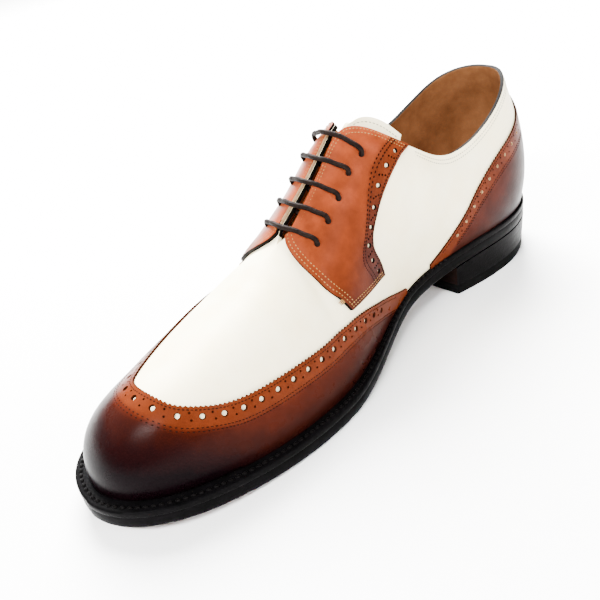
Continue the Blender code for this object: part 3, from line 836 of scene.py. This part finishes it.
wing_cap = leather("wing_cap_leather", [wing], [burnished_calf, lining_leather, stained_edge],
                   "wing_cap", OVERLAY_THICK, OVERLAY_LIFT, TOOTH_DEPTH)
WING_MARGIN = 32.0
WING_SEAM_MARGIN = 12
punch(wing_cap, brogued(wing, HOLE_INSET, OVERLAY_HIGH, WING_HOLE, WING_MARGIN, wing.length - WING_MARGIN,
                        wall=EDGE))
dress(wing_cap, [wing], [wing_burnish])
sew("wing_stitching", wing, WING_SEAM, OVERLAY_HIGH, dark_thread, WING_SEAM_MARGIN)


# Counter

COUNTER_ROWS = 26
counter_spline = spline(np.sqrt(COUNTER_EDGE["t"]), COUNTER_EDGE["share"])
half_way = np.concatenate([np.linspace(98, 42, 200), along(np.linspace(station(42), 0, 600))[1:]])


def counter_share(t):
    """Share of the counter's edge; measured by square roots it keeps its peak at the heel's back."""
    return counter_spline(np.sqrt(t))


counter_line = np.concatenate([skin(station(half_way), counter_share(half_way), 1),
                               skin(station(half_way), counter_share(half_way), -1)[-2::-1]])
walked = lengths(counter_line)
signed = np.concatenate([half_way, -half_way[-2::-1]])
columns = np.interp(np.linspace(0, walked[-1], evenly_toothed(counter_line)), walked, signed)
lines = []
for t in columns:
    shares = np.linspace(float(counter_share(abs(t))), OVERLAY_FOOT, 60)
    lines.append(spread_evenly(skin(station(abs(t)), shares, 1 if t >= 0 else -1), COUNTER_ROWS))
counter = Panel(np.array(lines))
low = counter.away / counter.away[:, -1:]
rear = 1 - ease(0, 70, counter.points[..., 1])
counter_burnish = .11 + .08 * low + ease(8, 13, counter.away) * (.10 + .20 * low ** 2 + .18 * rear)

back_counter = leather("counter_leather", [counter], [tan_calf, lining_leather, stained_edge, raw_edge],
                       "counter", OVERLAY_THICK, OVERLAY_LIFT, TOOTH_DEPTH)
# The rows stop short of the counter's tips and of its peak
COUNTER_MARGIN = 24.0
COUNTER_PEAK = 34.0
COUNTER_SEAM_MARGIN = 10
counter_rows = [(COUNTER_MARGIN, counter.length / 2 - COUNTER_PEAK),
                (counter.length / 2 + COUNTER_PEAK, counter.length - COUNTER_MARGIN)]
punch(back_counter, [hole for row in counter_rows
                     for hole in brogued(counter, HOLE_INSET, OVERLAY_HIGH, COUNTER_HOLE, *row, wall=RAW)])
dress(back_counter, [counter], [counter_burnish])
rows, pitch, size = COUNTER_SEAM
counter_sewn = [sewn(counter, rows[0], pitch, OVERLAY_HIGH, COUNTER_SEAM_MARGIN)]
counter_sewn += [sewn(counter, away, pitch, OVERLAY_HIGH, *row) for away in rows[1:] for row in counter_rows]
stitches("counter_stitching", counter_sewn, size, dark_thread)


# Facings

def path(columns):
    """Curve through the rows of a table, by the share of its length on the last."""
    step = np.hypot(np.diff(columns["t"]), np.diff(columns["share"]) * SHARE_LENGTH)
    length = np.concatenate([[0], np.cumsum(step)])
    t = spline(length / length[-1], columns["t"])
    share = spline(length / length[-1], columns["share"])
    return lambda v: np.stack([t(v), share(v)], axis=-1)


facing_rear = path(FACING_REAR)
facing_front = path(FACING_FRONT)
FACING_COLUMNS, FACING_ROWS = 52, 72
FACING_PINS = (0, 1.6), (0, -1.6), (0, 0)
FACING_MARGIN = 2
FACING_SLOPE = 0.012 * FACING_THICK
RAW_REACH = 7.0


def facing_points(side):
    """Grid of a facing from its rear to its front edge and from its bottom to its top."""
    u = np.linspace(0, 1, FACING_COLUMNS)[:, None, None]
    v = np.linspace(0, 1, FACING_ROWS)
    spots = (1 - u) * facing_rear(v) + u * facing_front(v)
    return skin(station(spots[..., 0]), np.clip(spots[..., 1], 0, 1), side)


def make_facing(side):
    points = facing_points(side)
    panel = Panel(points)
    from_rear = Panel(points.transpose(1, 0, 2))
    from_front = Panel(points[::-1].transpose(1, 0, 2))
    from_top = Panel(points[:, ::-1])
    name = "facing_" + side_name(side)
    # The leather is skived thinner towards its rear edge
    skive = np.linspace(FACING_SKIVE, 1, FACING_COLUMNS)[:, None] + np.zeros(FACING_ROWS)
    rear_top = OVERLAY_LIFT + FACING_THICK * FACING_SKIVE
    front_top = OVERLAY_LIFT + FACING_THICK

    facing = leather(name + "_leather", [panel], [tan_calf, lining_leather, inked_edge, raw_edge],
                     name, FACING_THICK, OVERLAY_LIFT, weights=skive)
    facing.vertex_groups.new(name="skive")
    facing.modifiers["wall"].vertex_group = "skive"
    round_rim(facing, 0.35, 2)
    punch(facing, eyelet_holes((side,)) + brogued(from_rear, HOLE_INSET, rear_top + .15, FACING_HOLE,
                                                  6, from_rear.length - 8, EDGE, FACING_PINS))
    # Painted shade and light: the facing is coloured darker towards its bottom, where it turns away from the
    # light, and lighter at its top; the punched band by its rear edge is darker with burnish.
    share_up = np.linspace(0, 1, FACING_ROWS)[None, :]
    rear = 1 - ease(9, 14, from_rear.away.T)
    polish_and_shade = -.08 + .30 * (1 - share_up) ** 1.6 + .14 * rear
    dress(facing, [panel], [polish_and_shade])
    # The edge beside the lacing is left raw
    slot_start, slot_end = (place((0, t, 0))[1] for t in (FACING_TOP + 3, TONGUE_RISE))
    for face in facing.data.polygons:
        inward = -side * face.normal.x
        if face.material_index == EDGE and inward > 0.7 and slot_end < face.center.y < slot_start:
            middle = place((ridge_x(CENTRE_T - face.center.y / MM), 0, 0))[0]
            if abs(face.center.x - middle) < RAW_REACH * MM:
                face.material_index = RAW

    sew(name + "_dark_stitching", from_rear, FACING_REAR_SEAM, rear_top, dark_thread,
        FACING_MARGIN, slope=FACING_SLOPE)
    sew(name + "_cream_stitching", from_front, FACING_FRONT_SEAM, front_top, cream_thread,
        FACING_MARGIN, from_front.length, -FACING_SLOPE)
    # Along the bottom and the top the rows climb with the leather's thickness
    rows, pitch, size = FACING_FRONT_SEAM
    ends = []
    for edge, corner, distances in ((panel, points[0, 0], FACING_FOOT_ROWS), (from_top, points[0, -1], rows)):
        for away in distances:
            for point, normal, run in sewn(edge, away, pitch, 0.0, FACING_MARGIN):
                share = np.interp(np.linalg.norm(point - corner), (0, edge.length), (0, 1))
                high = OVERLAY_LIFT + FACING_THICK * (FACING_SKIVE + (1 - FACING_SKIVE) * share)
                ends.append((point + high * normal, normal, run))
    stitches(name + "_edge_stitching", [ends], size, cream_thread)
    # Bar tack over the front edge, where the facing meets the vamp
    tack = []
    for reach in TACK_PLACES:
        inner, normal, _ = from_front.spot(reach, 3.0)
        outer, _, run = from_front.spot(reach, 0.0)
        inner = inner + (front_top + 0.1) * normal
        foot = outer + (outer - from_front.spot(reach, 1.8)[0]) + 0.2 * normal
        tack.append(((inner + foot) / 2 + 0.45 * normal, normal, unit(foot - inner)))
    stitches(name + "_bar_tack", [tack], TACK_STITCH, cream_thread)


for side in (1, -1):
    make_facing(side)


# Tongue

BACK_ALONG_INSTEP = np.array([0, -0.8, 0.6])
TONGUE_HALF = 16
TONGUE_RIM_ROWS, TONGUE_ROWS = 8, 64
# The rim leans away from the instep: lift, where it starts, how soon it is full, and its fan
TONGUE_LIFT = 2.5
TONGUE_LIFT_START, TONGUE_LIFT_REACH = 131, 24
TONGUE_LEAN = 0.4
TONGUE_FAN = 0.55
TONGUE_MARGIN = 3


def tongue_half(side):
    """Points on one half of the tongue, from its top edge to its foot and from the middle outward.

    Its lower part lies under the facing and its top stands out above the facing's edge.
    """
    outward = np.linspace(0, 1, TONGUE_HALF)[None, :]
    below = np.concatenate([np.zeros(TONGUE_RIM_ROWS), np.linspace(0, 1, TONGUE_ROWS)[1:]])[:, None]
    rim = spline(TONGUE_RIM["across"], TONGUE_RIM["out"])(side * outward)
    fall = np.concatenate([np.linspace(1, 0, TONGUE_RIM_ROWS + 1)[:-1], np.zeros(TONGUE_ROWS - 1)])
    out = fall[:, None] * rim
    start = FACING_TOP - TONGUE_SPREAD * outward
    t = start + (TONGUE_FOOT - start) * below
    s = station(t)
    face = Panel(skin(s, 1 - outward * (1 - TONGUE_EDGE_SHARE) * below ** 0.35, side))
    normals = np.where(below[..., None] > 0, face.normals, face.normals[TONGUE_RIM_ROWS + 1])
    sewn_in = np.clip((t - TONGUE_RISE) / TONGUE_CLIMB, 0, 1)
    raised = TONGUE_LIFT * np.clip((TONGUE_LIFT_START - t) / TONGUE_LIFT_REACH, 0, 1) + TONGUE_LEAN * out
    depth = TONGUE_DEPTH + (WALL + 2 * GAP - TONGUE_DEPTH) * sewn_in - raised
    climb = unit(skin(s, 1.0, side) - skin(s, 0.98, side))
    way = unit(BACK_ALONG_INSTEP * (1 - TONGUE_FAN * outward[..., None])
               + climb * TONGUE_FAN * outward[..., None])
    return face.points - depth[..., None] * normals + out[..., None] * way


def tongue_panel():
    """Both halves, joined by a bridge across the throat."""
    lateral, medial = tongue_half(-1)[:, ::-1], tongue_half(1)
    bridge = lateral[:, -1:] + np.linspace(0, 1, 6)[1:-1, None] * (medial[:, :1] - lateral[:, -1:])
    return Panel(np.concatenate([lateral, bridge, medial], axis=1))


tongue_sheet = tongue_panel()
tongue = leather("tongue_leather", [tongue_sheet], [ivory_calf, lining_leather, ivory_calf],
                 "tongue", TONGUE_THICK)
settle(tongue)
dress(tongue, [tongue_sheet])
tongue_edge = Panel(tongue_sheet.points.transpose(1, 0, 2))
sew("tongue_stitching", tongue_edge, TONGUE_SEAM, 0.0, grey_thread, TONGUE_MARGIN)


# Lace

def leg(t, side, upward):
    """Route of the lace through one eyelet, bending towards the throat above and below."""
    middle, axis, inward = eyelet(t, side)
    route = [
        middle - LACE_DEPTH * axis + LACE_BEND * inward,
        middle - (LACE_DEPTH - LACE_BEND) * axis,
        middle + (LACE_LIFT - LACE_BEND) * axis + LACE_LEAN * inward,
        middle + LACE_LIFT * axis + LACE_REACH * inward,
    ]
    return route if upward else route[::-1]


def over_throat(t_from, t_to, side_from, lift, insets, forward=0.0):
    """Route across the throat between two eyelets, at a height over the upper.

    The throat slopes down to the toe, so a bar that lies square to it crosses it forward of its eyelets.
    """
    ways = [-inset for inset in insets] + insets[::-1]
    route = []
    for i, way in enumerate(ways):
        s = station(t_from + (t_to - t_from) * (way + 1) / 2 + forward * (1 - abs(way)))
        side = side_from if i < len(insets) else -side_from
        share = 1 - abs(way) * (1 - eyelet_share(s, side))
        route.append(skin(s, share, side) + lift * normal_at(s, share, side))
    return route


def lace_route():
    """Straight bars on top with slanted runs below, its ends tucked in under the top eyelets."""
    route = []
    for k, t in enumerate(EYELET_STATIONS):
        route += leg(t, -1, upward=True)
        route += over_throat(t, t, -1, LACE_LIFT, [0.55, 0.25, 0.0], forward=LACE_SQUARE)
        route += leg(t, 1, upward=False)
        if k + 1 < len(EYELET_STATIONS):
            route += over_throat(t, EYELET_STATIONS[k + 1], 1, -LACE_DEPTH, [0.5, 0.0])
    return np.array(route)


def make_lace():
    route = lace_route()
    walked = lengths(route)
    fine = np.linspace(0, walked[-1], 700)
    smooth = np.stack([spline(walked, route[:, k])(fine) for k in range(3)], axis=1)
    curve = bpy.data.curves.new("lace_line", "CURVE")
    curve.dimensions = "3D"
    curve.bevel_depth = LACE_RADIUS * MM
    curve.bevel_resolution = 3
    curve.use_fill_caps = True
    line = curve.splines.new("POLY")
    line.points.add(len(smooth) - 1)
    for point, spot in zip(line.points, place(smooth)):
        point.co = (*spot, 1)
    helper = add_object("lace_line", curve)
    bm = bmesh.new()
    bm.from_mesh(baked(helper))
    bpy.data.objects.remove(helper)
    piece("lace_braid", bm, [waxed_cotton], "lace")


make_lace()


# Sole

SOLE_STATIONS = np.linspace(0, np.pi, 150)
END_REACH = 148.0


def welt_width(t, side):
    return np.interp(t, WELT["t"], WELT[side_name(side)])


def outline(stations, spread):
    """Medial and lateral edges, the feather line moved out by spread(t, side)."""
    t = along(stations)
    small = 1e-3
    edges = {}
    for side in (1, -1):
        line = feather[side_name(side)]
        run = unit(np.stack([line(stations + small) - line(stations - small),
                             along(stations + small) - along(stations - small)], axis=1))
        out = side * np.stack([run[:, 1], -run[:, 0]], axis=1)
        moved = np.broadcast_to(spread(t, side), t.shape)[:, None]
        edges[side] = np.stack([line(stations), t], axis=1) + out * moved
    for end in (0, -1):
        if abs(t[end] - LAST_LENGTH / 2) > END_REACH:
            edges[1][end] = edges[-1][end] = (edges[1][end] + edges[-1][end]) / 2
    return edges


def round_trip(edges):
    """Both edges as one ring, from the heel along the medial side to the toe and back."""
    return np.concatenate([edges[1], edges[-1][-2::-1]])


def welt_top(t):
    return feather["height"](station(t)) - GAP


def outsole_top(t):
    return welt_top(t) - WELT_THICK - SOLE_GAP


def outsole_bottom(t):
    return np.maximum(outsole_top(t) - OUTSOLE_THICK, 0)


def tube(name, rings, materials, replaced, closed_section=True):
    """Piece from rings of points in a row; with a closed section the last joins the first."""
    bm = bmesh.new()
    grid(bm, place(np.stack(rings + rings[:1] if closed_section else rings, axis=1)))
    bmesh.ops.remove_doubles(bm, verts=bm.verts, dist=0.01 * MM)
    bmesh.ops.holes_fill(bm, edges=[edge for edge in bm.edges if edge.is_boundary])
    bmesh.ops.recalc_face_normals(bm, faces=bm.faces)
    made = piece(name, bm, materials, replaced)
    made.data.set_sharp_from_angle(angle=RIM_ANGLE)
    return made


def ring_at(spread, height):
    ring = round_trip(outline(SOLE_STATIONS, spread))
    return np.column_stack([ring, height(ring[:, 1])])


# Welt: a strip with a softly rounded outer edge
WELT_SEAM_SHARE = 0.62
WELT_SEAM_END = 84
WELT_PROFILE = [(None, 0.0), (0.9, 0.0), (0.3, 0.15), (0.0, 0.6), (0.0, 2.8), (0.15, 3.0), (None, 3.0)]
welt_rings = []
for inset, drop in WELT_PROFILE:
    welt_rings.append(ring_at(lambda t, side: -WELT_TUCK if inset is None else welt_width(t, side) - inset,
                              lambda t: welt_top(t) - drop))
tube("welt_strip", welt_rings, [black_edge], "welt")


def welt_stitches():
    """Coarse lockstitch round the welt, half way between the upper and its edge, left out round the heel."""
    ring = ring_at(lambda t, side: welt_width(t, side) * WELT_SEAM_SHARE, welt_top)
    edge = ring_at(welt_width, welt_top)
    keep = ring[:, 1] > WELT_SEAM_END
    line = ring[keep]
    outer = edge[keep]
    walked = lengths(line)
    row = []
    for spot in np.arange(2.0, walked[-1], WELT_PITCH):
        here, out, ahead = [np.array([np.interp(spot + step, walked, grid[:, k]) for k in range(3)])
                            for step, grid in ((0, line), (0, outer), (1.0, line))]
        run = unit(ahead - here)
        up = unit(np.cross(run, unit(out - here)))
        row.append((here, up * np.sign(up[2]), run))
    return row


stitches("welt_stitching", [welt_stitches()], WELT_STITCH, black_thread)


def sole_rings(profile, spread):
    """Rings round an edge; each step of the profile has an inset and a height for each t."""
    return [ring_at(lambda t, side: spread(t, side) - inset, height) for inset, height in profile]


def outsole_edge(t, side):
    return welt_width(t, side) - OUTSOLE_INSET


SOLE_PROFILE = [(0.15, 0.0, 0), (0.0, -0.2, 0), (0.0, 1.2, 1), (0.35, 0.4, 1), (1.1, 0.0, 1)]
profile = []
for inset, step, at_bottom in SOLE_PROFILE:
    level = outsole_bottom if at_bottom else outsole_top
    profile.append((inset, lambda t, step=step, level=level: level(t) + step))
edge_rings = sole_rings(profile, outsole_edge)


def ladder(ring, rungs):
    """Rows of points straight across a ring, from its lateral to its medial side."""
    half = len(ring) // 2
    medial, lateral = ring[:half + 1], ring[::-1][:half + 1]
    return [lateral + (medial - lateral) * share for share in np.linspace(0, 1, rungs + 1)]


# Faces turned down, or forward, further than this are the sole's underside and the heel's breast
UNDERSIDE = -0.95
BREAST = -0.9


def make_outsole():
    """Lofted across: up one edge, over the top, down the other and along the underside."""
    half = len(edge_rings[0]) // 2
    medial = [ring[:half + 1] for ring in edge_rings]
    lateral = [ring[::-1][:half + 1] for ring in edge_rings]
    rows = lateral + ladder(edge_rings[-1], 10)[1:-1] + medial[::-1]
    sole = tube("outsole_leather", rows, [black_edge, sole_leather], "outsole")
    for face in sole.data.polygons:
        face.material_index = 1 if face.normal.z < UNDERSIDE else 0


make_outsole()


def make_insole():
    top = ring_at(lambda t, side: -INSOLE_INSET, lambda t: feather["height"](station(t)) + INSOLE_RISE)
    bottom = ring_at(lambda t, side: -INSOLE_INSET, lambda t: outsole_top(t) + GAP)
    tube("insole_sock", ladder(top, 8) + ladder(bottom, 8)[::-1], [insole_leather],
         "insole")


make_insole()

# Heel: leather lifts with fine lines between them, over a rubber top piece
HEEL_STATIONS = np.concatenate([np.linspace(0, station(28), 24), station(np.linspace(32, HEEL_BREAST, 20))])
HEEL_LIFTS = 3
LIFT_LINE = 0.015
BREAST_STEPS = 10


def heel_ring(inset, height):
    """Ring round the heel and straight across its breast."""
    edges = outline(HEEL_STATIONS, lambda t, side: outsole_edge(t, side) - inset)
    for side in (1, -1):
        edges[side][-1, 1] = HEEL_BREAST - inset
    arc = np.concatenate([edges[1][::-1], edges[-1][1:]])
    breast = arc[-1] + np.linspace(0, 1, BREAST_STEPS + 1)[1:, None] * (arc[0] - arc[-1])
    ring = np.concatenate([arc, breast])
    return np.column_stack([ring, height(ring[:, 1])])


def stack_height(share):
    return lambda t: (outsole_bottom(t) - 0.1) * (1 - share) + (TOP_LIFT_THICK + 0.15) * share


taper_at_lift = HEEL_TAPER * 0.7
rings = []
for k in range(HEEL_LIFTS):
    for share, inset in ((0.0, LIFT_LINE), (0.06, 0.0), (0.94, 0.0), (1.0, LIFT_LINE)):
        if k and not share:
            continue
        down = (k + share) / HEEL_LIFTS
        rings.append(heel_ring(inset + taper_at_lift * down, stack_height(down)))
heel = tube("heel_lifts", rings, [black_edge, breast_leather], "heel_stack",
            closed_section=False)
for face in heel.data.polygons:
    face.material_index = 1 if face.normal.y < BREAST else 0
rings = [heel_ring(taper_at_lift + inset, lambda t, z=z: np.full_like(t, z)) for inset, z in (
    (0.25, TOP_LIFT_THICK), (0.0, TOP_LIFT_THICK - 0.3), (0.25, 0.7), (0.45, 0.2), (0.9, 0.0))]
tube("top_piece", rings, [rubber], "heel_top_lift", closed_section=False)


# Stage

FLOOR_HALF = 4.0
WORLD_STRENGTH = 0.06
bm = bmesh.new()
bmesh.ops.create_grid(bm, x_segments=1, y_segments=1, size=FLOOR_HALF)
floor = add_object("floor", mesh_of("floor", bm, [white_floor]))

world = bpy.data.worlds.new("studio")
world.use_nodes = True
world.node_tree.nodes["Background"].inputs["Color"].default_value = linear("#FFFFFF")
world.node_tree.nodes["Background"].inputs["Strength"].default_value = WORLD_STRENGTH
bpy.context.scene.world = world


def softbox(name, position, target, size, watts):
    light = bpy.data.lights.new(name, "AREA")
    light.shape = "RECTANGLE"
    light.size, light.size_y = size
    light.energy = watts
    obj = add_object(name, light)
    obj.location = position
    obj.rotation_euler = (Vector(target) - Vector(position)).to_track_quat("-Z", "Y").to_euler()


# Key light behind the shoe, a strip for the shine of the toe and two weak fills: place, aim, size, watts
SOFTBOXES = [
    ("overhead", (-0.85, 0.65, 1.1), (0, 0, 0.04), (1.1, 1.1), 455),
    ("front", (0.25, -0.85, 0.95), (0, -0.05, 0.04), (0.62, 0.17), 60),
    ("left", (-0.9, -0.7, 1.0), (0, 0, 0.04), (1.3, 1.3), 20),
    ("near", (1.15, 0.15, 0.65), (0, 0, 0.04), (0.4, 0.3), 20),
]
for box in SOFTBOXES:
    softbox(*box)

# Camera: the photo's place and tilt, aimed at this shoe
CAMERA_POSITION = (0.2593, -0.2230, 0.2375)
CAMERA_AIM = (0.0010, -0.0201, 0.03696)
CAMERA_ROLL = -11.125
CAMERA_LENS = 46.8
camera = bpy.data.cameras.new("camera")
camera.lens = CAMERA_LENS
camera.sensor_width = 36.0
camera.clip_start = 0.01
camera_object = add_object("camera", camera)
camera_object.location = CAMERA_POSITION
forward = Vector(CAMERA_AIM) - Vector(CAMERA_POSITION)
roll = Quaternion((0, 0, 1), np.radians(CAMERA_ROLL))
camera_object.rotation_mode = "QUATERNION"
camera_object.rotation_quaternion = forward.to_track_quat("-Z", "Y") @ roll
bpy.context.scene.camera = camera_object
